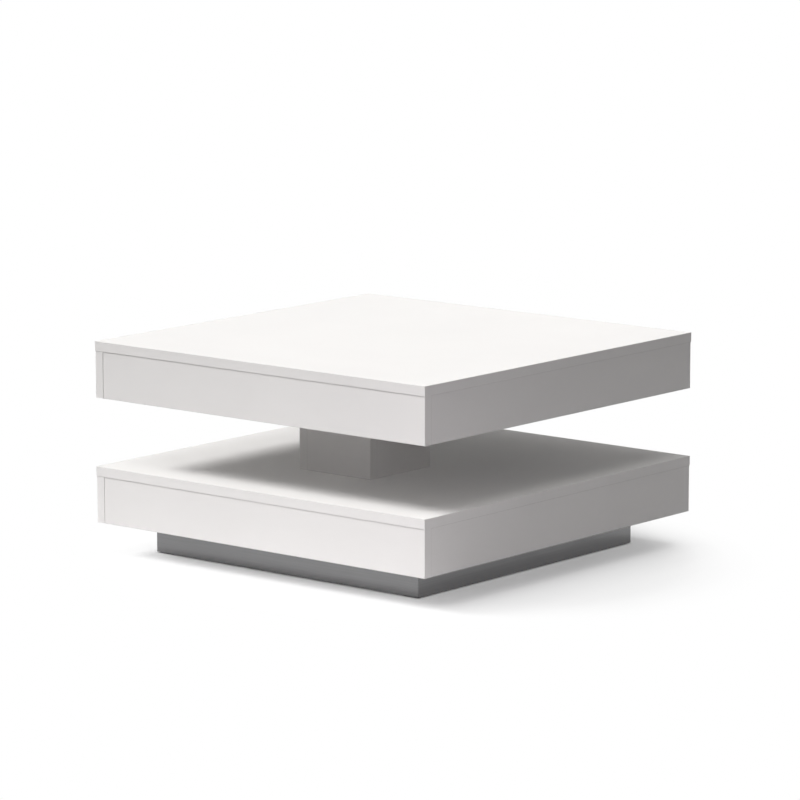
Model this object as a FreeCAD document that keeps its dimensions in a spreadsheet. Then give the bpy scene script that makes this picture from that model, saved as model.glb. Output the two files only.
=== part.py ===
import FreeCAD, Part
import math
import os
import Sketcher

# Swivel coffee table: two square board decks, the upper one turning on a column that stands off centre.
# Millimetres, +Z up. The origin is on the floor under the middle of the decks, and the front is -Y.

doc = FreeCAD.newDocument("swivel_coffee_table")

# Driving dimensions
sizes = [
    ("top_size", 700, "side of the square top boards"),
    ("board", 16, "thickness of every board"),
    ("edge_ease", 0.4, "eased edges of the boards that show"),
    ("overhang", 1, "top boards past the faces of the aprons, on each side"),
    ("apron_height", 78, "height of the aprons"),
    ("deck_gap", 115, "clear height between the decks"),
    ("deck_block", 45, "leg of the glue blocks inside the decks"),
    ("plinth_setback", 69.5, "plinth back from the edges of the decks"),
    ("plinth_height", 51.5, "height of the plinth boards"),
    ("plinth_block", 60, "leg of the glue blocks inside the plinth"),
    ("pad_size", 30, "side of the felt pads"),
    ("pad_inset", 4, "felt pads back from the plinth's faces"),
    ("pad_height", 1.5, "thickness of the felt pads"),
    ("column_size", 152, "side of the square column"),
    ("column_offset", 78, "column's axis forward of the middle of the decks"),
    ("column_screw_inset", 20, "screws under the column, in from the column's side boards"),
    ("column_screw_shank", 5, "diameter of those screws"),
    ("column_screw_head", 8, "width of their six-sided heads across the flats"),
    ("column_screw_head_height", 3.5, "height of their heads"),
    ("plate_setback", 1, "swivel plates in from the column's side boards"),
    ("plate_thickness", 1.5, "sheet of the swivel plates"),
    ("plate_corner", 8, "corner radius of the swivel plates"),
    ("plate_ledge", 3, "swivel plates past the race rings, towards the middle"),
    ("plate_gap", 0.5, "race rings and cage to the plates that they face"),
    ("race_inset", 17, "circle of the balls in from the edges of the plates"),
    ("race_wall", 3, "race ring behind the bottom of its groove"),
    ("race_clearance", 0.15, "ball to each flank of a groove"),
    ("ball_diameter", 4, "diameter of the balls"),
    ("ball_count", 12, "number of balls"),
    ("cage_wall", 1.2, "wall of the cage"),
    ("cage_rim", 0.8, "cage above and below its windows"),
    ("cage_clearance", 0.4, "cage to the race rings on each side of it"),
    ("window_clearance", 0.2, "ball to its window in the cage, on each side"),
    ("plate_screw_inset", 10, "screws of the swivel plates, in from their edges"),
    ("plate_screw_shank", 4, "diameter of those screws"),
    ("plate_screw_head", 7, "width of their six-sided heads across the flats"),
    ("plate_screw_head_height", 2.4, "height of their heads"),
    ("screw_cover", 4, "board left beyond the tips of the screws"),
    ("hole_clearance", 0.2, "screw holes past the shanks, on the diameter"),
    ("tip_room", 1, "blind holes past the tips of the screws"),
]
sheet = doc.addObject("Spreadsheet::Sheet", "Sizes")
for row, (alias, value, meaning) in enumerate(sizes, start=1):
    sheet.set(f"A{row}", meaning)
    sheet.set(f"B{row}", str(value))
    sheet.setAlias(f"B{row}", alias)
doc.recompute()

# Sizes that follow from the driving ones
frame_size = "(Sizes.top_size - 2 * Sizes.overhang)"
inner_size = f"({frame_size} - 2 * Sizes.board)"
inner_height = "(Sizes.apron_height - Sizes.board)"
apron_reach = "((Sizes.top_size - Sizes.overhang) / 2)"
plinth_size = "(Sizes.top_size - 2 * Sizes.plinth_setback)"
plinth_inner = f"({plinth_size} - 2 * Sizes.board)"
column_inner = "(Sizes.column_size - 2 * Sizes.board)"
rib_x = "((Sizes.column_size - Sizes.board) / 2)"
column_screw_half = f"({column_inner} / 2 - Sizes.column_screw_inset)"
column_screw_length = "(2 * Sizes.board - Sizes.screw_cover)"

# The swivel is as high as its balls, cage and plates make it
window = "(Sizes.ball_diameter + 2 * Sizes.window_clearance)"
cage_height = f"({window} + 2 * Sizes.cage_rim)"
swivel_height = f"({cage_height} + 2 * Sizes.plate_gap + 2 * Sizes.plate_thickness)"
swivel_middle = f"({swivel_height} / 2)"
plate_size = f"({column_inner} - 2 * Sizes.plate_setback)"
plate_screw_half = f"({plate_size} / 2 - Sizes.plate_screw_inset)"
plate_screw_length = "(Sizes.plate_thickness + Sizes.board - Sizes.screw_cover)"
race_radius = f"({plate_size} / 2 - Sizes.race_inset)"
groove = "((Sizes.ball_diameter / 2 + Sizes.race_clearance) * sqrt(2))"
groove_lip = "(Sizes.cage_wall / 2 + Sizes.cage_clearance)"
plate_bore = f"(2 * ({race_radius} - {groove} - Sizes.race_wall - Sizes.plate_ledge))"
column_height = f"(Sizes.deck_gap - {swivel_height})"
blind_depth = "(Sizes.board - Sizes.screw_cover + Sizes.tip_room)"

# Levels above the floor, and the line on which the column and the swivel stand
lower_deck = "(Sizes.pad_height + Sizes.plinth_height)"
shelf_bottom = f"({lower_deck} + Sizes.apron_height)"
shelf_top = f"({shelf_bottom} + Sizes.board)"
column_top = f"({shelf_top} + {column_height})"
upper_deck = f"({shelf_top} + Sizes.deck_gap)"
top_bottom = f"({upper_deck} + Sizes.apron_height)"
column_y = "-Sizes.column_offset"

corner_signs = [(-1, -1), (1, -1), (1, 1), (-1, 1)]
corner_count = len(corner_signs)
sides = ["front", "right", "rear", "left"]
hexagon_sides = 6

# A ball is an eight-sided drum with bevelled ends, its corners on a sphere: shares of the ball's diameter
ball_sides = 8
drum_radius = 0.457
drum_height = 0.9
drum_bevel = 0.25

sub_parts = []


# Drawing helpers

def new_body(label, x="0", y="0", z="0", quarter_turns=0, turned_over=False):
    body = doc.addObject("PartDesign::Body", label)
    body.Label = label
    turn = FreeCAD.Rotation(FreeCAD.Vector(0, 0, 1), 90 * quarter_turns)
    if turned_over:
        turn = FreeCAD.Rotation(FreeCAD.Vector(1, 0, 0), 180)
    body.Placement = FreeCAD.Placement(FreeCAD.Vector(), turn)
    for axis, place in zip("xyz", (x, y, z)):
        body.setExpression(f"Placement.Base.{axis}", place)
    sub_parts.append(body)
    return body


def origin_feature(body, role):
    return next(feature for feature in body.Origin.OriginFeatures if feature.Role == role)


def new_sketch(body, plane="XY_Plane", level="0"):
    sketch = body.newObject("Sketcher::SketchObject", f"{body.Label}_sketch")
    sketch.AttachmentSupport = [(origin_feature(body, plane), "")]
    sketch.MapMode = "FlatFace"
    sketch.setExpression("AttachmentOffset.Base.z", level)
    return sketch


def fix_point(sketch, geometry, end, x, y):
    point = sketch.getPoint(geometry, end)
    for kind, start, size in (("DistanceX", point.x, x), ("DistanceY", point.y, y)):
        constraint = sketch.addConstraint(Sketcher.Constraint(kind, -1, 1, geometry, end, start))
        sketch.setExpression(f"Constraints[{constraint}]", size)


def draw_outline(sketch, points):
    # A closed outline of straight edges, drawn on a unit circle first and then set to its sizes
    count = len(points)
    rough = []
    for index in range(count):
        angle = 2 * math.pi * index / count
        rough.append(FreeCAD.Vector(math.cos(angle), math.sin(angle), 0))
    for index in range(count):
        sketch.addGeometry(Part.LineSegment(rough[index], rough[(index + 1) % count]), False)
    for index, (x, y) in enumerate(points):
        sketch.addConstraint(Sketcher.Constraint("Coincident", index, 2, (index + 1) % count, 1))
        fix_point(sketch, index, 1, x, y)


def draw_rectangle(sketch, width, depth):
    points = []
    for x_sign, y_sign in corner_signs:
        points.append((f"{x_sign} * {width} / 2", f"{y_sign} * {depth} / 2"))
    draw_outline(sketch, points)


def draw_hexagon(sketch, x, y, across_flats):
    points = []
    for index in range(hexagon_sides):
        angle = f"{360 / hexagon_sides * index} deg"
        reach = f"{across_flats} / sqrt(3)"
        points.append((f"{x} + {reach} * cos({angle})", f"{y} + {reach} * sin({angle})"))
    draw_outline(sketch, points)


def draw_circle(sketch, x, y, diameter):
    circle = sketch.addGeometry(Part.Circle(FreeCAD.Vector(), FreeCAD.Vector(0, 0, 1), 1), False)
    fix_point(sketch, circle, 3, x, y)
    constraint = sketch.addConstraint(Sketcher.Constraint("Diameter", circle, 2))
    sketch.setExpression(f"Constraints[{constraint}]", diameter)


# Feature helpers

def pad(body, sketch, length, reverse=False):
    feature = body.newObject("PartDesign::Pad", f"{body.Label}_pad")
    feature.Profile = sketch
    feature.Reversed = reverse
    feature.setExpression("Length", length)
    return feature


def pocket(body, sketch, length, reverse=False):
    before = body.Tip
    feature = body.newObject("PartDesign::Pocket", f"{body.Label}_pocket")
    feature.Profile = sketch
    feature.Reversed = reverse
    feature.setExpression("Length", length)
    doc.recompute()
    if feature.Shape.Volume >= before.Shape.Volume:
        raise RuntimeError(f"{feature.Label} cuts nothing")
    return feature


def ease_edges(body, feature):
    chamfer = body.newObject("PartDesign::Chamfer", f"{body.Label}_eased")
    chamfer.Base = (feature, [""])
    chamfer.UseAllEdges = True
    chamfer.setExpression("Size", "Sizes.edge_ease")


def repeat_round(body, count, originals=None):
    # Copies round the body's upright axis, of the features given or else of the whole body
    pattern = body.newObject("PartDesign::PolarPattern", f"{body.Label}_round")
    if originals:
        pattern.Originals = originals
    else:
        pattern.TransformMode = "Whole shape"
    pattern.Axis = (origin_feature(body, "Z_Axis"), [""])
    pattern.Angle = 360
    pattern.setExpression("Occurrences", count)
    body.Tip = pattern


def drill_corners(body, half, y, shank, depth, level="0", downward=False):
    # Four screw holes in a square about the column's line, cut up from the level or down from it
    sketch = new_sketch(body, level=level)
    diameter = f"{shank} + Sizes.hole_clearance"
    for x_sign, y_sign in corner_signs:
        draw_circle(sketch, f"{x_sign} * {half}", f"{y} + {y_sign} * {half}", diameter)
    doc.recompute()
    pocket(body, sketch, depth, reverse=not downward)


# Boards

def flat_board(label, side, z, y="0", eased=False):
    body = new_body(label, y=y, z=z)
    sketch = new_sketch(body)
    draw_rectangle(sketch, side, side)
    feature = pad(body, sketch, "Sizes.board")
    if eased:
        ease_edges(body, feature)
    return body


def standing_board(label, x, z, length, height):
    body = new_body(label, x=x, z=z)
    sketch = new_sketch(body)
    draw_rectangle(sketch, "Sizes.board", length)
    pad(body, sketch, height)


def pinwheel_boards(prefix, suffix, outside, reach, height, y, z):
    # Four like boards round a square: each butts against the next one and covers the end of the one before,
    # and its covering end stops at the reach, measured from the middle of the square
    half = f"{outside} / 2"
    for turns, side in enumerate(sides):
        body = new_body(f"{prefix}_{side}_{suffix}", y=y, z=z, quarter_turns=turns)
        sketch = new_sketch(body)
        draw_outline(sketch, [
            (f"Sizes.board - {half}", f"-{half}"),
            (reach, f"-{half}"),
            (reach, f"Sizes.board - {half}"),
            (f"Sizes.board - {half}", f"Sizes.board - {half}"),
        ])
        ease_edges(body, pad(body, sketch, height))


def mitred_boards(prefix, outside, height, z):
    half = f"{outside} / 2"
    inner_half = f"({half} - Sizes.board)"
    for turns, side in enumerate(sides):
        body = new_body(f"{prefix}_{side}_board", z=z, quarter_turns=turns)
        sketch = new_sketch(body)
        draw_outline(sketch, [
            (f"-{half}", f"-{half}"),
            (half, f"-{half}"),
            (inner_half, f"-{inner_half}"),
            (f"-{inner_half}", f"-{inner_half}"),
        ])
        pad(body, sketch, height)


def corner_blocks(label, inside, leg, height, z):
    # Three-sided glue blocks in the four inner corners of a square frame
    body = new_body(label, z=z)
    sketch = new_sketch(body)
    half = f"{inside} / 2"
    draw_outline(sketch, [(half, half), (f"{half} - {leg}", half), (half, f"{half} - {leg}")])
    pad(body, sketch, height)
    repeat_round(body, str(corner_count))


def corner_pads(label):
    body = new_body(label)
    sketch = new_sketch(body)
    outer = f"({plinth_size} / 2 - Sizes.pad_inset)"
    inner = f"({outer} - Sizes.pad_size)"
    draw_outline(sketch, [(inner, inner), (outer, inner), (outer, outer), (inner, outer)])
    pad(body, sketch, "Sizes.pad_height")
    repeat_round(body, str(corner_count))


def deck(prefix, z):
    # What both decks share under their top boards: aprons whose ends are flush with the top board's edges,
    # bottom board, ribs and glue blocks
    floor = f"({z} + Sizes.board)"
    pinwheel_boards(prefix, "apron", frame_size, apron_reach, "Sizes.apron_height", "0", z)
    standing_board(f"{prefix}_left_rib", f"-{rib_x}", floor, inner_size, inner_height)
    standing_board(f"{prefix}_right_rib", rib_x, floor, inner_size, inner_height)
    corner_blocks(f"{prefix}_corner_blocks", inner_size, "Sizes.deck_block", inner_height, floor)
    return flat_board(f"{prefix}_bottom_board", inner_size, z)


# Screws and swivel

def screws(label, kind, half, length, z, turned_over=False):
    # Four hexagon-head wood screws in a square, their heads above the level, or below it where turned over
    body = new_body(label, y=column_y, z=z, turned_over=turned_over)
    head = new_sketch(body)
    draw_hexagon(head, half, half, f"Sizes.{kind}_head")
    pad(body, head, f"Sizes.{kind}_head_height")
    shank = new_sketch(body)
    draw_circle(shank, half, half, f"Sizes.{kind}_shank")
    pad(body, shank, length, reverse=True)
    repeat_round(body, str(corner_count))


def swivel_plate(label, z, side, turned_over=False):
    # A square plate with a race ring: the ring's V groove looks at the balls from outside or from inside
    body = new_body(label, y=column_y, z=z, turned_over=turned_over)
    outline = new_sketch(body)
    draw_rectangle(outline, plate_size, plate_size)
    sheet_pad = pad(body, outline, "Sizes.plate_thickness")
    doc.recompute()
    corners = body.newObject("PartDesign::Fillet", f"{label}_corners")
    upright = []
    for index, edge in enumerate(sheet_pad.Shape.Edges, start=1):
        if abs(edge.tangentAt(edge.FirstParameter).z) > 0.5:
            upright.append(f"Edge{index}")
    corners.Base = (sheet_pad, upright)
    corners.setExpression("Radius", "Sizes.plate_corner")

    lip = f"{race_radius} + {side} * {groove_lip}"
    bottom = f"{race_radius} + {side} * {groove}"
    back = f"{race_radius} + {side} * ({groove} + Sizes.race_wall)"
    flank = f"({groove} - {groove_lip})"
    ring_end = f"{swivel_height} - Sizes.plate_thickness - Sizes.plate_gap"
    ring = new_sketch(body, "XZ_Plane")
    draw_outline(ring, [
        (lip, "Sizes.plate_thickness"),
        (lip, f"{swivel_middle} - {flank}"),
        (bottom, swivel_middle),
        (lip, f"{swivel_middle} + {flank}"),
        (lip, ring_end),
        (back, ring_end),
        (back, "Sizes.plate_thickness"),
    ])
    race = body.newObject("PartDesign::Revolution", f"{label}_race")
    race.Profile = ring
    race.ReferenceAxis = (ring, ["V_Axis"])
    race.Angle = 360
    doc.recompute()

    bore = new_sketch(body)
    draw_circle(bore, "0", "0", plate_bore)
    doc.recompute()
    pocket(body, bore, "Sizes.plate_thickness", reverse=True)
    drill_corners(body, plate_screw_half, "0", "Sizes.plate_screw_shank", "Sizes.plate_thickness")


def swivel_cage(label):
    # A thin ring between the two races, with a square window for each ball
    body = new_body(label, y=column_y, z=column_top)
    ring = new_sketch(body, level=f"{swivel_middle} - {cage_height} / 2")
    draw_circle(ring, "0", "0", f"2 * {race_radius} - Sizes.cage_wall")
    draw_circle(ring, "0", "0", f"2 * {race_radius} + Sizes.cage_wall")
    pad(body, ring, cage_height)
    doc.recompute()
    opening = new_sketch(body, "YZ_Plane")
    half = f"{window} / 2"
    low = f"{swivel_middle} - {half}"
    high = f"{swivel_middle} + {half}"
    draw_outline(opening, [(f"-{half}", low), (half, low), (half, high), (f"-{half}", high)])
    doc.recompute()
    cut = pocket(body, opening, f"{race_radius} + Sizes.cage_wall", reverse=True)
    repeat_round(body, "Sizes.ball_count", [cut])


def swivel_balls(label):
    body = new_body(label, y=column_y, z=column_top)
    height = f"(Sizes.ball_diameter * {drum_height})"
    drum = body.newObject("PartDesign::AdditivePrism", f"{label}_drum")
    drum.AttachmentSupport = [(origin_feature(body, "XY_Plane"), "")]
    drum.MapMode = "FlatFace"
    drum.Polygon = ball_sides
    drum.setExpression("Circumradius", f"Sizes.ball_diameter * {drum_radius}")
    drum.setExpression("Height", height)
    drum.setExpression("AttachmentOffset.Base.x", race_radius)
    drum.setExpression("AttachmentOffset.Base.z", f"{swivel_middle} - {height} / 2")
    doc.recompute()
    bevel = body.newObject("PartDesign::Chamfer", f"{label}_bevel")
    bevel.Base = (drum, [f"Face{ball_sides + 1}", f"Face{ball_sides + 2}"])
    bevel.setExpression("Size", f"Sizes.ball_diameter * {drum_bevel}")
    repeat_round(body, "Sizes.ball_count")


# Plinth
corner_pads("floor_pads")
mitred_boards("plinth", plinth_size, "Sizes.plinth_height", "Sizes.pad_height")
standing_board("plinth_rail", "0", "Sizes.pad_height", plinth_inner, "Sizes.plinth_height")
corner_blocks("plinth_corner_blocks", plinth_inner, "Sizes.plinth_block", "Sizes.plinth_height",
              "Sizes.pad_height")

# Lower deck
deck("lower", lower_deck)
shelf_board = flat_board("shelf_board", "Sizes.top_size", shelf_bottom, eased=True)
drill_corners(shelf_board, column_screw_half, column_y, "Sizes.column_screw_shank", "Sizes.board")

# Column
pinwheel_boards("column", "board", "Sizes.column_size", "Sizes.column_size / 2", column_height, column_y,
                shelf_top)
column_foot = flat_board("column_foot", column_inner, shelf_top, y=column_y)
drill_corners(column_foot, column_screw_half, "0", "Sizes.column_screw_shank", blind_depth)
screws("column_screws", "column_screw", column_screw_half, column_screw_length, shelf_bottom,
       turned_over=True)
column_cap = flat_board("column_cap", column_inner, f"{column_top} - Sizes.board", y=column_y)
drill_corners(column_cap, plate_screw_half, "0", "Sizes.plate_screw_shank", blind_depth,
              level="Sizes.board", downward=True)

# Swivel
swivel_plate("swivel_lower_plate", column_top, 1)
swivel_plate("swivel_upper_plate", upper_deck, -1, turned_over=True)
swivel_cage("swivel_cage")
swivel_balls("swivel_balls")
screws("swivel_lower_screws", "plate_screw", plate_screw_half, plate_screw_length,
       f"{column_top} + Sizes.plate_thickness")
screws("swivel_upper_screws", "plate_screw", plate_screw_half, plate_screw_length,
       f"{upper_deck} - Sizes.plate_thickness", turned_over=True)

# Upper deck
upper_bottom_board = deck("upper", upper_deck)
drill_corners(upper_bottom_board, plate_screw_half, column_y, "Sizes.plate_screw_shank", blind_depth)
flat_board("upper_top_board", "Sizes.top_size", top_bottom, eased=True)

# Every feature has to have come out before the pieces are written
doc.recompute()
for item in doc.Objects:
    if "Invalid" in item.State or "Error" in item.State:
        raise RuntimeError(f"{item.Label} failed: {item.State}")
for piece in sub_parts:
    if piece.Shape.isNull() or not piece.Shape.isValid() or not piece.Shape.Solids:
        raise RuntimeError(f"{piece.Label} has no valid solid")

os.makedirs("parts", exist_ok=True)
for piece in sub_parts:
    piece.Shape.exportStep(f"parts/{piece.Label}.step")
    print(piece.Label, len(piece.Shape.Solids), round(piece.Shape.Volume))
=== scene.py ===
# Swivel coffee table: rounded boards, hardware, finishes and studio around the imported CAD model.
import math
import bpy
import numpy as np
from mathutils import Matrix, Vector
from mathutils.geometry import delaunay_2d_cdt


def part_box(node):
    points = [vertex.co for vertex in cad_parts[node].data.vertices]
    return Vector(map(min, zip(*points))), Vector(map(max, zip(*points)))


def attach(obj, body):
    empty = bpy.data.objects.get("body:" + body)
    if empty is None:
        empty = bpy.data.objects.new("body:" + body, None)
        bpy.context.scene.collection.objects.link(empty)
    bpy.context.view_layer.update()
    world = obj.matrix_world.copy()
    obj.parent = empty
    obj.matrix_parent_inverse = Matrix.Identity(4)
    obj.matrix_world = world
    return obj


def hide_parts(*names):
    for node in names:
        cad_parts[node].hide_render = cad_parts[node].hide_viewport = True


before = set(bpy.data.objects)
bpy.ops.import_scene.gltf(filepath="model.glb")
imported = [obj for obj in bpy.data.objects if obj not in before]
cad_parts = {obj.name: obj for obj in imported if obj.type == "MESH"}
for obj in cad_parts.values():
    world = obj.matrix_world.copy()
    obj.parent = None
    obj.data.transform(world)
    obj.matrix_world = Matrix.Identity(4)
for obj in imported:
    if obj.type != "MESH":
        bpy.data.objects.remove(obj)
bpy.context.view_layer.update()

# camera: where the photo was taken from, solved from the table's corners
photoView = {
    "azimuth": 39.607, "elevation": 9.794,  # degrees, right of the front and above the floor
    "distance": 7.10637,  # metres along the line of sight
    "across": 0.008265, "above": 0.246229,  # metres the line of sight passes beside the table's foot
    "lens": 191.91, "sensor": 36.0, "clipEnd": 200.0,
}


def placeCamera(view):
    turn, rise = math.radians(view["azimuth"]), math.radians(view["elevation"])
    right = np.array([math.cos(turn), math.sin(turn), 0.0])
    back = np.array([math.sin(turn) * math.cos(rise), -math.cos(turn) * math.cos(rise), math.sin(rise)])
    up = np.cross(back, right)
    eye = view["across"] * right + view["above"] * up + view["distance"] * back
    lens = bpy.data.cameras.new("photoCamera")
    lens.lens, lens.sensor_width, lens.clip_end = view["lens"], view["sensor"], view["clipEnd"]
    camera = bpy.data.objects.new("photoCamera", lens)
    placed = np.eye(4)
    placed[:3] = np.column_stack([right, up, back, eye])
    camera.matrix_world = Matrix(placed.tolist())
    bpy.context.scene.collection.objects.link(camera)
    bpy.context.scene.camera = camera


placeCamera(photoView)
bpy.context.scene.view_settings.view_transform = "Standard"
print("camera placed")


# node helper: settings are the node's own options, sockets take a number, a colour or another node's output
def addNode(tree, kind, settings=None, sockets=None):
    made = tree.nodes.new("ShaderNode" + kind)
    for option, value in (settings or {}).items():
        setattr(made, option, value)
    for socket, value in (sockets or {}).items():
        if isinstance(value, bpy.types.NodeSocket):
            tree.links.new(value, made.inputs[socket])
        else:
            made.inputs[socket].default_value = value
    return made


def addMath(tree, operation, *values, clamp=False):
    settings = {"operation": operation, "use_clamp": clamp}
    return addNode(tree, "Math", settings, dict(enumerate(values))).outputs[0]


# Object coordinates, moved or stretched where a pattern asks for it
def addPlace(tree, shift=(0.0, 0.0, 0.0), stretch=(1.0, 1.0, 1.0)):
    place = addNode(tree, "TexCoord").outputs["Object"]
    return addNode(tree, "Mapping", {}, {"Vector": place, "Location": shift, "Scale": stretch}).outputs["Vector"]


def addGrain(tree, scale, detail, stretch=(1.0, 1.0, 1.0), distortion=0.0):
    return addNode(tree, "TexNoise", {}, {"Vector": addPlace(tree, stretch=stretch), "Scale": scale,
                                          "Detail": detail, "Distortion": distortion}).outputs["Fac"]


grainSpan = (0.3, 0.7)  # nearly all of a grain's values lie between these


def addRange(tree, value, span, result):
    return addNode(tree, "MapRange", {}, {"Value": value, "From Min": span[0], "From Max": span[1],
                                          "To Min": result[0], "To Max": result[1]}).outputs["Result"]


def addRamp(tree, value, stops):
    ramp = addNode(tree, "ValToRGB", {}, {"Fac": value})
    bar = ramp.color_ramp.elements
    while len(bar) < len(stops):
        bar.new(0.5)
    for stop, (position, colour) in zip(bar, stops):
        stop.position, stop.color = position, (*colour, 1.0)
    return ramp.outputs["Color"]


def startFinish(name, sockets):
    finish = bpy.data.materials.new(name)
    finish.use_nodes = True
    skin = finish.node_tree.nodes["Principled BSDF"]
    for socket, value in sockets.items():
        skin.inputs[socket].default_value = value
    return finish, finish.node_tree, skin


# the last step of each finish: its colour, its roughness, and a bump as deep as its plan says
def dressSkin(tree, skin, tone, rough, height, plan):
    bump = addNode(tree, "Bump", {}, {"Height": height, "Strength": plan["bump"], "Distance": plan["depth"]})
    tree.links.new(tone, skin.inputs["Base Color"])
    tree.links.new(rough, skin.inputs["Roughness"])
    tree.links.new(bump.outputs["Normal"], skin.inputs["Normal"])


# white board: pearl-textured laminate on the faces, a slightly glossier edge band, and the fine
# joint line between the two, found by the UV map's second number, metres in from the band
laminate = {
    "skin": {"IOR": 1.46},
    "cloud": {"scale": 5.0, "detail": 3.0}, "pearl": {"scale": 900.0, "detail": 1.0},
    "tones": [(0.35, (0.889, 0.873, 0.857)), (0.65, (0.905, 0.889, 0.872))],
    "jointColour": (0.45, 0.435, 0.42, 1.0), "jointMiddle": 0.00014, "jointHalf": 0.00011,
    "roughness": (0.68, 0.80), "bandGloss": -0.06, "bandFade": 0.0002, "bump": 0.25, "depth": 0.00003,
}


def makeLaminate(name, plan):
    finish, tree, skin = startFinish(name, plan["skin"])
    tone = addRamp(tree, addGrain(tree, **plan["cloud"]), plan["tones"])
    pearl = addGrain(tree, **plan["pearl"])
    across = addNode(tree, "UVMap", {"uv_map": "board"}).outputs["UV"]
    inward = addNode(tree, "SeparateXYZ", {}, {0: across}).outputs["Y"]
    joint = addMath(tree, "COMPARE", inward, plan["jointMiddle"], plan["jointHalf"])
    mixed = addNode(tree, "Mix", {"data_type": "RGBA"}, {0: joint, 6: tone, 7: plan["jointColour"]}).outputs[2]
    rough = addRange(tree, pearl, grainSpan, plan["roughness"])
    band = addRange(tree, inward, (-plan["bandFade"], 0.0), (plan["bandGloss"], 0.0))
    dressSkin(tree, skin, mixed, addMath(tree, "ADD", rough, band), pearl, plan)
    return finish


# a finish whose roughness and bump follow one grain; the colour follows it too, or a cloud of its own
def makeGrained(name, plan):
    finish, tree, skin = startFinish(name, plan["skin"])
    grain = addGrain(tree, **plan["grain"])
    cloud = addGrain(tree, **plan["cloud"]) if "cloud" in plan else grain
    rough = addRange(tree, grain, grainSpan, plan["roughness"])
    dressSkin(tree, skin, addRamp(tree, cloud, plan["tones"]), rough, grain, plan)
    return finish


# a finish of small patches, each in its own tone, under a fine grain; raised patches also stand out in the bump
def makePatched(name, plan):
    finish, tree, skin = startFinish(name, plan["skin"])
    place = addPlace(tree, stretch=plan["patchStretch"])
    patch = addNode(tree, "TexVoronoi", {}, {"Vector": place, "Scale": plan["patchScale"]}).outputs
    share = addNode(tree, "SeparateXYZ", {}, {0: patch["Color"]}).outputs["X"]
    grain = addGrain(tree, **plan["grain"])
    height = addMath(tree, "ADD", patch["Distance"], grain) if plan["raised"] else grain
    rough = addRange(tree, grain, grainSpan, plan["roughness"])
    dressSkin(tree, skin, addRamp(tree, share, plan["tones"]), rough, height, plan)
    return finish


# undersides of the decks: thin grey backing foil over the board, faintly mottled by the chips below it
greyBacking = {
    "skin": {"IOR": 1.46}, "grain": {"scale": 220.0, "detail": 4.0},
    "tones": [(0.3, (0.36, 0.36, 0.355)), (0.7, (0.42, 0.42, 0.415))],
    "roughness": (0.5, 0.65), "bump": 0.25, "depth": 0.00006,
}

# plinth facing: silver foil with a fine brushed grain that runs level round the plinth
silverFoil = {
    "skin": {"Metallic": 0.5}, "grain": {"scale": 1.0, "detail": 3.0, "stretch": (10.0, 10.0, 1500.0)},
    "tones": [(0.3, (0.265, 0.265, 0.268)), (0.7, (0.305, 0.305, 0.308))],
    "roughness": (0.15, 0.22), "bump": 0.3, "depth": 0.00001,
}

# hidden boards: pressed chips of several browns with a rough sawn surface
chipboard = {
    "skin": {"Specular IOR Level": 0.3}, "grain": {"scale": 1400.0, "detail": 3.0},
    "patchScale": 520.0, "patchStretch": (1.0, 0.55, 0.8), "raised": True,
    "tones": [(0.0, (0.30, 0.20, 0.11)), (0.35, (0.46, 0.33, 0.19)), (0.7, (0.58, 0.44, 0.27)),
              (1.0, (0.68, 0.54, 0.36))],
    "roughness": (0.72, 0.9), "bump": 0.35, "depth": 0.0003,
}

# swivel plates and screws: zinc plate with a faint spangle
zincPlate = {
    "skin": {"Metallic": 1.0}, "grain": {"scale": 600.0, "detail": 4.0},
    "patchScale": 160.0, "patchStretch": (1.0, 1.0, 1.0), "raised": False,
    "tones": [(0.0, (0.50, 0.51, 0.53)), (1.0, (0.66, 0.67, 0.69))],
    "roughness": (0.26, 0.42), "bump": 0.2, "depth": 0.00002,
}

# balls: ground steel with faint running marks round them
ballSteel = {
    "skin": {"Metallic": 1.0}, "grain": {"scale": 500.0, "detail": 4.0, "stretch": (1.0, 1.0, 6.0)},
    "tones": [(0.3, (0.70, 0.70, 0.71)), (0.7, (0.80, 0.80, 0.81))],
    "roughness": (0.06, 0.16), "bump": 0.05, "depth": 0.00001,
}

# cage: moulded natural nylon, a little cloudy, with a spark-eroded surface
cageNylon = {
    "skin": {"IOR": 1.53}, "grain": {"scale": 2500.0, "detail": 2.0}, "cloud": {"scale": 120.0, "detail": 3.0},
    "tones": [(0.3, (0.66, 0.64, 0.58)), (0.7, (0.73, 0.71, 0.66))],
    "roughness": (0.42, 0.58), "bump": 0.3, "depth": 0.00003,
}

# floor pads: pressed wool felt, tangled fibres in greys
padFelt = {
    "skin": {"Sheen Weight": 0.35, "Specular IOR Level": 0.15},
    "grain": {"scale": 700.0, "detail": 5.0, "stretch": (1.0, 1.0, 2.0), "distortion": 2.5},
    "tones": [(0.3, (0.06, 0.058, 0.055)), (0.55, (0.11, 0.105, 0.10)), (0.75, (0.20, 0.19, 0.18))],
    "roughness": (0.88, 1.0), "bump": 0.8, "depth": 0.0006,
}

whiteBoard = makeLaminate("whiteLaminate", laminate)
backing = makeGrained("greyBacking", greyBacking)
silver = makeGrained("silverFoil", silverFoil)
rawBoard = makePatched("chipboard", chipboard)
zinc = makePatched("zincPlate", zincPlate)
steel = makeGrained("ballSteel", ballSteel)
nylon = makeGrained("cageNylon", cageNylon)
felt = makeGrained("padFelt", padFelt)
print("finishes made")


# quads between neighbouring rings, where point number = ring * around + step round it
def ringQuads(around, rings):
    step = np.arange(around)
    ring = np.arange(rings - 1)[:, None] * around
    after = (step + 1) % around
    return np.stack([ring + step, ring + after, ring + around + after, ring + around + step], -1).reshape(-1, 4)


boreSteps = 24  # points round a bore
holesOpen, sameSpot = 5, 1e-9  # triangulation: the kind that leaves holes open, and how near two points are one


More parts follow.
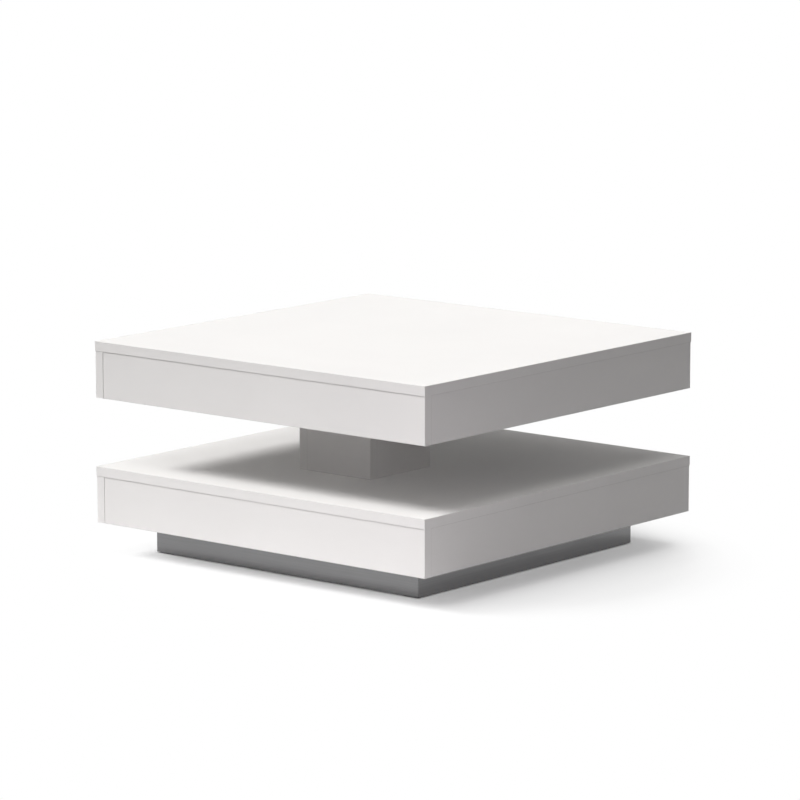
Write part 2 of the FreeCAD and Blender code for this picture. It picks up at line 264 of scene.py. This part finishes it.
# The two flat faces of a bored panel. A bore is the circle centre + radius * (cos, sin) at both levels, with a wall
# of quads between; the face is the triangulation of what lies inside the outline and outside the circles.
def boredFaces(outline, levels, holes, rims, start):
    turn = np.linspace(0, 2 * math.pi, boreSteps, endpoint=False)
    circle = np.stack([np.cos(turn), np.sin(turn)], -1)
    bores = np.array([np.array(centre) + radius * circle for *centre, radius in holes]).reshape(-1, 2)
    around, count = len(outline), len(bores)
    loops = [list(range(around))] + (around + np.arange(count)).reshape(-1, boreSteps).tolist()
    flat = [Vector(spot) for spot in np.concatenate([outline, bores])]
    _, _, parts, sources, *_ = delaunay_2d_cdt(flat, [], loops, holesOpen, sameSpot)
    faces = []
    for side, rim in enumerate(rims):
        number = np.concatenate([rim, start + side * count + np.arange(count)])
        whole = [[int(number[sources[i][0]]) for i in part] for part in parts]
        faces += whole if side else [face[::-1] for face in whole]
    step = np.arange(boreSteps)
    after = (step + 1) % boreSteps
    wall = np.stack([step, step + count, after + count, after], -1)
    faces += (wall + np.arange(start, start + count, boreSteps)[:, None, None]).reshape(-1, 4).tolist()
    points = np.concatenate([np.column_stack([bores, np.full(count, level)]) for level in levels])
    normals = np.repeat([[0.0, 0.0, -1.0], [0.0, 0.0, 1.0]], count, 0)
    return points, normals, faces


cornerShare, leastShare = 1.25, 0.1  # a panel corner's radius in edge radii, and the least it shrinks to


# A panel is its outline carried through the thickness. At ring t, with inset d(t) and level c(t), the point at
# step s is corner - bisector * (d + rho) / cos(half turn) + rho * outward(s), where rho, the corner's radius,
# shrinks with the inset; d and c follow a quarter circle, the straight edge, and another quarter circle.
def panelShell(outline, thinAxis, low, high, edgeRadius, holes=(), arcSteps=4, faceMargin=0.002):
    corner = np.asarray(outline, float)
    into = corner - np.roll(corner, 1, 0)
    into /= np.linalg.norm(into, axis=1)[:, None]
    away = np.roll(into, -1, 0)
    before, after = into[:, ::-1] * (1, -1), away[:, ::-1] * (1, -1)  # outward normals of the two sides
    turn = np.arctan2(before[:, 0] * after[:, 1] - before[:, 1] * after[:, 0], (before * after).sum(1))
    angle = np.arctan2(before[:, 1], before[:, 0])[:, None] + turn[:, None] * np.linspace(0, 1, arcSteps + 1)
    outward = np.stack([np.cos(angle), np.sin(angle)], -1).reshape(-1, 2)
    bisector = (before + after) / np.linalg.norm(before + after, axis=1)[:, None]
    reach = np.repeat(bisector / np.cos(turn / 2)[:, None], arcSteps + 1, 0)
    corners = np.repeat(corner, arcSteps + 1, 0)
    quarter = np.linspace(-math.pi / 2, 0, arcSteps + 1)
    tilt = np.concatenate([[-math.pi / 2], quarter, -quarter[::-1], [math.pi / 2]])
    inset = edgeRadius * (1 - np.cos(tilt))
    inset[[0, -1]] += faceMargin
    half = len(tilt) // 2
    level = np.concatenate([low + edgeRadius * (1 + np.sin(tilt[:half])),
                            high - edgeRadius * (1 - np.sin(tilt[half:]))])
    rho = np.maximum(cornerShare * edgeRadius - inset, leastShare * edgeRadius)
    plan = corners - reach * (inset + rho)[:, None, None] + outward * rho[:, None, None]
    rings, around = plan.shape[:2]
    spot = np.concatenate([plan, np.broadcast_to(level[:, None, None], (rings, around, 1))], -1).reshape(-1, 3)
    lean = np.concatenate([outward * np.cos(tilt)[:, None, None],
                           np.broadcast_to(np.sin(tilt)[:, None, None], (rings, around, 1))], -1).reshape(-1, 3)
    # UV: metres round the outline, and metres in from the edge band, which is negative on the band itself
    edge = np.linalg.norm(np.roll(plan[half], -1, 0) - plan[half], axis=1)
    run = np.concatenate([[0.0], np.cumsum(edge)])
    fall = np.where(np.arange(rings) < half, np.arange(rings) - 1, rings - 2 - np.arange(rings))
    inward = np.where(fall < 0, faceMargin, -fall * edgeRadius * math.pi / 2 / arcSteps)
    ring, step = np.divmod(np.arange((rings - 1) * around), around)
    along = np.stack([run[step], run[step + 1], run[step + 1], run[step]], -1)
    inside = np.stack([inward[ring], inward[ring], inward[ring + 1], inward[ring + 1]], -1)
    # the two flat faces
    rims = np.arange(around), np.arange(around) + (rings - 1) * around
    if len(holes):
        borePoints, boreNormals, caps = boredFaces(plan[0], (low, high), holes, rims, len(spot))
        spot, lean = np.concatenate([spot, borePoints]), np.concatenate([lean, boreNormals])
    else:
        caps = [rims[0][::-1].tolist(), rims[1].tolist()]
    capUv = np.full((sum(map(len, caps)), 2), (0.0, faceMargin))
    turnAxes = (thinAxis + 1) % 3  # plan and thickness back to x, y, z
    return {"points": np.roll(spot, turnAxes, 1), "normals": np.roll(lean, turnAxes, 1),
            "faces": ringQuads(around, rings).tolist() + caps,
            "uv": np.concatenate([np.stack([along, inside], -1).reshape(-1, 2), capUv])}


# a flat board in a CAD node's own box, thin across its shortest side
def boardShell(node, edgeRadius, holes=()):
    low, high = (np.array(c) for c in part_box(node))
    thin = int(np.argmin(high - low))
    a, b = (thin + 1) % 3, (thin + 2) % 3
    outline = [(low[a], low[b]), (high[a], low[b]), (high[a], high[b]), (low[a], high[b])]
    return panelShell(outline, thin, low[thin], high[thin], edgeRadius, holes)


# A turned shape: rings of radius r(angle, step) at height z(angle, step) between two pole points,
# repeated at each place in spots; over turns it upside down by half a turn about x.
def turnedShell(radius, height, poles, spots, over=False):
    rings, around = radius.shape
    angle = np.linspace(0, 2 * math.pi, around, endpoint=False)
    body = np.stack([radius * np.cos(angle), radius * np.sin(angle), height], -1).reshape(-1, 3)
    one = np.concatenate([body, [[0, 0, poles[0]], [0, 0, poles[1]]]])
    if over:
        one = one * (1, -1, -1)
    step = np.arange(around)
    after, last = (step + 1) % around, (rings - 1) * around
    tip = np.stack([after, step, np.full(around, rings * around)], -1)
    crown = np.stack([last + step, last + after, np.full(around, rings * around + 1)], -1)
    spots = np.asarray(spots, float)
    shift = (np.arange(len(spots)) * len(one))[:, None, None]
    quads = (ringQuads(around, rings) + shift).reshape(-1, 4)
    fans = (np.concatenate([tip, crown]) + shift).reshape(-1, 3)
    return {"points": (one + spots[:, None]).reshape(-1, 3), "normals": None,
            "faces": quads.tolist() + fans.tolist(), "uv": None}


def makePiece(name, shells, finish, body, node):
    starts = np.cumsum([0] + [len(s["points"]) for s in shells])
    mesh = bpy.data.meshes.new(name)
    faces = [[int(i + start) for i in face] for s, start in zip(shells, starts) for face in s["faces"]]
    mesh.from_pydata(np.concatenate([s["points"] for s in shells]), [], faces)
    mesh.polygons.foreach_set("use_smooth", np.ones(len(faces), bool))
    if shells[0]["uv"] is not None:
        layer = mesh.uv_layers.new(name="board")
        layer.data.foreach_set("uv", np.concatenate([s["uv"] for s in shells]).astype(np.float32).ravel())
    mesh.update()
    if shells[0]["normals"] is not None:
        mesh.normals_split_custom_set_from_vertices(np.concatenate([s["normals"] for s in shells]).tolist())
    mesh.materials.append(finish)
    piece = bpy.data.objects.new(name, mesh)
    bpy.context.scene.collection.objects.link(piece)
    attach(piece, body)
    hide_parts(node)


sides = ("front", "right", "rear", "left")
fourCorners = [(x, y) for x in (-1, 1) for y in (-1, 1)]
columnY = -0.078  # metres, the axis of the column and the swivel, forward of the table's middle

# white boards: group, kind of board, the body it rides on; one board on each side
deckBoards = {
    "edgeRadius": 0.0003,
    "groups": [("upper", "Apron", "upper_deck"), ("lower", "Apron", "base"), ("column", "Board", "base")],
}
boards = [("topBoard", "upper_top_board", "upper_deck")]
boards += [(group + side.title() + kind, f"{group}_{side}_{kind.lower()}", body)
           for group, kind, body in deckBoards["groups"] for side in sides]
for piece, node, body in boards:
    makePiece(piece, [boardShell(node, deckBoards["edgeRadius"])], whiteBoard, body, node)

# shelf: as the other boards, with the bores of the four screws that hold the column
shelf = {"edgeRadius": 0.0003, "boreRadius": 0.0026, "boreSpread": 0.040}
bores = [(x * shelf["boreSpread"], columnY + y * shelf["boreSpread"], shelf["boreRadius"]) for x, y in fourCorners]
makePiece("shelfBoard", [boardShell("shelf_board", shelf["edgeRadius"], bores)],
          whiteBoard, "base", "shelf_board")
print("white boards:", len(boards) + 1)

# plinth: four mitred boards, each a four-cornered plan carried up the plinth's height, a quarter turn apart
plinth = {"edgeRadius": 0.0004, "board": 0.016}
plinthLow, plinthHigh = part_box("plinth_front_board")
outer = plinthHigh.x
inner = outer - plinth["board"]
mitred = np.array([(-outer, -outer), (outer, -outer), (inner, -inner), (-inner, -inner)])
for quarterTurn, side in enumerate(sides):
    way = np.linalg.matrix_power(np.array([[0, 1], [-1, 0]]), quarterTurn)
    makePiece("plinth" + side.title(), [panelShell(mitred @ way, 2, plinthLow.z, plinthHigh.z, plinth["edgeRadius"])],
              silver, "base", f"plinth_{side}_board")
print("plinth boards:", len(sides))

# felt pads: one under each corner of the plinth
floorPads = {"edgeRadius": 0.0004, "size": 0.030}
padLow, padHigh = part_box("floor_pads")
padMiddle = padHigh.x - floorPads["size"] / 2
square = np.array([(-1, -1), (1, -1), (1, 1), (-1, 1)]) * floorPads["size"] / 2
pads = [panelShell(square + (x * padMiddle, y * padMiddle), 2, padLow.z, padHigh.z, floorPads["edgeRadius"])
        for x, y in fourCorners]
makePiece("feltPads", pads, felt, "base", "floor_pads")

# balls: spheres, r = R sin(step), z = -R cos(step)
ballRing = {"count": 12, "radius": 0.002, "around": 24, "steps": 13, "raceRadius": 0.042}
ballLow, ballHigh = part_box("swivel_balls")
polar = np.linspace(0, math.pi, ballRing["steps"])[1:-1, None]
spin = np.arange(ballRing["count"]) * 2 * math.pi / ballRing["count"]
ballSpots = np.stack([ballRing["raceRadius"] * np.cos(spin), columnY + ballRing["raceRadius"] * np.sin(spin),
                      np.full(len(spin), (ballLow.z + ballHigh.z) / 2)], -1)
ballWidth = np.repeat(ballRing["radius"] * np.sin(polar), ballRing["around"], 1)
ballRise = np.repeat(-ballRing["radius"] * np.cos(polar), ballRing["around"], 1)
makePiece("swivelBalls", [turnedShell(ballWidth, ballRise, (-ballRing["radius"], ballRing["radius"]), ballSpots)],
          steel, "ball_ring", "swivel_balls")

# screws: what all share, then two sizes, four of each kind at the corners of a square round the column's axis
screwForm = {
    "around": 32, "coneRings": 5, "shankRings": 34, "domeRings": 13,
    "cone": 1.6, "point": 0.12,  # the cone's length and its blunt point's radius, in radii of the shank
    "neck": 0.002, "threadEnd": 0.003,  # metres under the head
    "rim": [(0.0003, 0.0), (0.0001, 0.0), (0.0, 0.0001)],  # metres in from the head's edge, and above its seat
    "headSide": 0.3,  # share of the head's height that is upright
    "slotSlope": 0.0002, "endSlope": 0.0004,  # metres over which the cross runs out, across and along
}
columnScrews = {
    "head": 0.004, "headHeight": 0.0035, "shank": 0.0025, "pitch": 0.0022, "threadDepth": 0.0006,
    "crossHalf": 0.0005, "crossReach": 0.0026, "crossDepth": 0.0014, "spread": 0.040,
}
plateScrews = {
    "head": 0.0035, "headHeight": 0.0024, "shank": 0.002, "pitch": 0.0018, "threadDepth": 0.0005,
    "crossHalf": 0.0004, "crossReach": 0.0022, "crossDepth": 0.0011, "spread": 0.049,
}


# Screw, head up, from its tip to its crown: a cone, a shank whose radius dips by a cosine along the helix
# z / pitch - angle, the flat under the head, and a low dome with a cross cut where |x| or |y| is small.
def screwShell(plan, form, long, spots, over):
    around, shank = form["around"], plan["shank"]
    angle = np.linspace(0, 2 * math.pi, around, endpoint=False)
    cone = form["cone"] * shank
    z = np.concatenate([np.linspace(-long, -long + cone, form["coneRings"])[1:],
                        np.linspace(-long + cone, -form["neck"], form["shankRings"])[1:], [0.0]])
    core = shank * np.clip((z + long) / cone, form["point"], 1.0)
    thread = plan["threadDepth"] * (z < -form["threadEnd"]) * np.clip((z + long) / cone, 0.0, 1.0)
    wave = 0.5 + 0.5 * np.cos(2 * math.pi * z[:, None] / plan["pitch"] - angle)
    body = core[:, None] - thread[:, None] * wave
    inset, lift = np.array(form["rim"]).T[:, :, None]
    rim = np.repeat(plan["head"] - inset, around, 1)
    arc = np.linspace(0, math.pi / 2, form["domeRings"])[:-1, None]
    dome = np.repeat(plan["head"] * np.cos(arc), around, 1)
    rise = plan["headHeight"] * (form["headSide"] + (1 - form["headSide"]) * np.sin(arc))
    x, y = np.abs(dome * np.cos(angle)), np.abs(dome * np.sin(angle))
    cut = (np.clip((plan["crossHalf"] - np.minimum(x, y)) / form["slotSlope"], 0, 1)
           * np.clip((plan["crossReach"] - np.maximum(x, y)) / form["endSlope"], 0, 1))
    height = np.concatenate([np.repeat(z[:, None], around, 1), np.repeat(lift, around, 1),
                             rise - plan["crossDepth"] * cut])
    poles = -long, plan["headHeight"] - plan["crossDepth"]
    return turnedShell(np.concatenate([body, rim, dome]), height, poles, spots, over)


for piece, node, body, plan, over in (("columnScrews", "column_screws", "base", columnScrews, True),
                                      ("lowerPlateScrews", "swivel_lower_screws", "base", plateScrews, False),
                                      ("upperPlateScrews", "swivel_upper_screws", "upper_deck", plateScrews, True)):
    screwLow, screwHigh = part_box(node)
    seat = screwLow.z + plan["headHeight"] if over else screwHigh.z - plan["headHeight"]
    long = screwHigh.z - screwLow.z - plan["headHeight"]
    spots = [(x * plan["spread"], columnY + y * plan["spread"], seat) for x, y in fourCorners]
    makePiece(piece, [screwShell(plan, screwForm, long, spots, over)], zinc, body, node)
print("pads, balls and screws made")

# CAD nodes that keep their shape: finish, nodes
keptNodes = [
    (backing, ["upper_bottom_board", "lower_bottom_board"]),
    (rawBoard, ["upper_left_rib", "upper_right_rib", "upper_corner_blocks", "lower_left_rib", "lower_right_rib",
                "lower_corner_blocks", "column_cap", "column_foot", "plinth_rail", "plinth_corner_blocks"]),
    (zinc, ["swivel_lower_plate", "swivel_upper_plate"]),
    (nylon, ["swivel_cage"]),
]
for finish, names in keptNodes:
    for name in names:
        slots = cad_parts[name].data.materials
        slots.clear()
        slots.append(finish)
print("CAD nodes dressed:", sum(len(names) for _, names in keptNodes))

# floor: matt, and open from below; to the camera and to reflections it is as white as the backdrop, by a painted
# white glow that also paints the table's shadow out, keeping only a share of the real shade near the table; as a
# source of bounced light it is a faintly tinted sheet round the table that gives way to a darker floor
floorPlan = {
    "reach": 40.0, "matt": (0.97, 0.97, 0.97, 1.0), "footprint": 0.2805,
    # the share of real shade kept under the painted white glow, by metres from the middle of a square and of an oval;
    # the rest of the shadow is painted white
    "squareShift": (-0.0464, -0.0148, 0.0), "squareRound": 0.04,
    "square": [(0.30, 0.727), (0.315, 0.60), (0.33, 0.54), (0.35, 0.455), (0.38, 0.39), (0.42, 0.303)],
    "ovalShift": (-0.0543, 0.0163, 0.0), "ovalStretch": (1.0, 1.139, 1.0),
    "oval": [(0.30, 1.0), (0.38, 0.96), (0.42, 0.928), (0.46, 0.73), (0.50, 0.351), (0.55, 0.083), (0.60, 0.0)],
    "sheet": (0.855, 0.842, 0.852), "beyond": (0.10, 0.098, 0.10), "sheetSpan": (0.5, 1.6),  # metres out
}
edges = np.array([-1.0, 1.0]) * floorPlan["reach"]
u, v = np.meshgrid(edges, edges)
floorMesh = bpy.data.meshes.new("studioFloor")
floorMesh.from_pydata(np.stack([u, v, np.zeros_like(u)], -1).reshape(-1, 3), [], [[0, 1, 3, 2]])
floor = bpy.data.objects.new("studioFloor", floorMesh)
bpy.context.scene.collection.objects.link(floor)


# 1 for rays that come from the camera, a reflection or through glass
def addSeen(tree):
    path = addNode(tree, "LightPath").outputs
    seen = addMath(tree, "ADD", path["Is Camera Ray"], path["Is Glossy Ray"])
    return addMath(tree, "ADD", seen, path["Is Transmission Ray"], clamp=True)


# how far a place is from a middle, as a square with rounded corners measures it: |x| or |y|, the larger
def addSquare(tree, shift, rounding):
    size = addNode(tree, "VectorMath", {"operation": "ABSOLUTE"}, {0: addPlace(tree, shift)}).outputs[0]
    parts = addNode(tree, "SeparateXYZ", {}, {0: size}).outputs
    return addMath(tree, "SMOOTH_MAX", parts["X"], parts["Y"], rounding)


# the same as a stretched circle measures it
def addOval(tree, shift=(0.0, 0.0, 0.0), stretch=(1.0, 1.0, 1.0)):
    place = addPlace(tree, shift, stretch)
    return addNode(tree, "VectorMath", {"operation": "LENGTH"}, {0: place}).outputs["Value"]


def addMixed(tree, share, first, second):
    return addNode(tree, "MixShader", {}, {0: share, 1: first, 2: second}).outputs[0]


def makeFloorFinish(plan):
    finish = bpy.data.materials.new("studioFloor")
    finish.use_nodes = True
    tree = finish.node_tree
    tree.nodes.clear()
    square = addSquare(tree, plan["squareShift"], plan["squareRound"])
    oval = addOval(tree, plan["ovalShift"], plan["ovalStretch"])
    near = addRamp(tree, square, [(metres, (share,) * 3) for metres, share in plan["square"]])
    far = addRamp(tree, oval, [(metres, (share,) * 3) for metres, share in plan["oval"]])
    under = addMath(tree, "LESS_THAN", addSquare(tree, (0.0, 0.0, 0.0), 0.0), plan["footprint"])
    kept = addMath(tree, "MAXIMUM", addMath(tree, "MULTIPLY", near, far), under)
    # painted light: a white glow mixed over the matt floor, lightening the table's shadow wherever less of the shade
    # is kept
    paintedGlow = addNode(tree, "Emission").outputs[0]
    matt = addNode(tree, "BsdfDiffuse", {}, {"Color": plan["matt"]}).outputs[0]
    pale = addMixed(tree, kept, paintedGlow, matt)
    outward = addRange(tree, addOval(tree), plan["sheetSpan"], (0.0, 1.0))
    sheet = addRamp(tree, outward, [(0.0, plan["sheet"]), (1.0, plan["beyond"])])
    dim = addNode(tree, "BsdfDiffuse", {}, {"Color": sheet}).outputs[0]
    above = addMixed(tree, addSeen(tree), dim, pale)
    below = addNode(tree, "NewGeometry").outputs["Backfacing"]
    clear = addNode(tree, "BsdfTransparent").outputs[0]
    addNode(tree, "OutputMaterial", {}, {"Surface": addMixed(tree, below, above, clear)})
    return finish


floorMesh.materials.append(makeFloorFinish(floorPlan))

# studio: a soft key on the left, a softer lamp in front and another overhead, and a faint fill that casts no shadow;
# bearing is in degrees round from the table's right, height in degrees above the floor, size as seen from the table
studio = {
    "lamps": [
        {"name": "keyLamp", "bearing": 207.0, "height": 40.0, "strength": 2.85, "size": 18.0, "shadow": True},
        {"name": "frontLamp", "bearing": 270.0, "height": 60.0, "strength": 0.53, "size": 40.0, "shadow": True},
        {"name": "overheadLamp", "bearing": 0.0, "height": 90.0, "strength": 0.43, "size": 60.0, "shadow": True},
        {"name": "openFill", "bearing": 0.0, "height": 90.0, "strength": 0.16, "size": 0.0, "shadow": False},
    ],
    "away": 3.0, "room": 0.14,  # metres from the lamps to the middle, and the strength of the room's own light
}
# a small soft lamp with a faint tint near the front corner: metres from the table's foot, above the floor and across
cornerLamp = {"bearing": 310.0, "away": 1.0, "above": 0.4, "across": 0.5, "aim": 0.2, "watts": 0.33,
              "tint": (1.0, 0.90, 1.0)}


def hangLamp(light, spot, toward):
    hung = bpy.data.objects.new(light.name, light)
    hung.location = spot
    hung.rotation_mode = "QUATERNION"
    hung.rotation_quaternion = toward.to_track_quat("Z", "Y")
    hung.visible_camera = hung.visible_glossy = False
    bpy.context.scene.collection.objects.link(hung)


for lamp in studio["lamps"]:
    light = bpy.data.lights.new(lamp["name"], "SUN")
    light.energy, light.angle, light.use_shadow = lamp["strength"], math.radians(lamp["size"]), lamp["shadow"]
    bearing, rise = math.radians(lamp["bearing"]), math.radians(lamp["height"])
    toward = Vector((math.cos(bearing) * math.cos(rise), math.sin(bearing) * math.cos(rise), math.sin(rise)))
    hangLamp(light, toward * studio["away"], toward)
light = bpy.data.lights.new("cornerLamp", "AREA")
light.shape, light.size, light.energy = "DISK", cornerLamp["across"], cornerLamp["watts"]
light.color = cornerLamp["tint"]
bearing = math.radians(cornerLamp["bearing"])
spot = Vector((math.cos(bearing) * cornerLamp["away"], math.sin(bearing) * cornerLamp["away"], cornerLamp["above"]))
hangLamp(light, spot, spot - Vector((0.0, 0.0, cornerLamp["aim"])))

# the room is plain white to the camera and to reflections, and dim as a source of light
world = bpy.data.worlds.new("studioRoom")
bpy.context.scene.world = world
world.use_nodes = True
room = world.node_tree
level = addMath(room, "MULTIPLY_ADD", addSeen(room), 1.0 - studio["room"], studio["room"])
room.links.new(level, room.nodes["Background"].inputs["Strength"])
room.nodes["Background"].inputs["Color"].default_value = (1.0, 1.0, 1.0, 1.0)
print("studio lit")
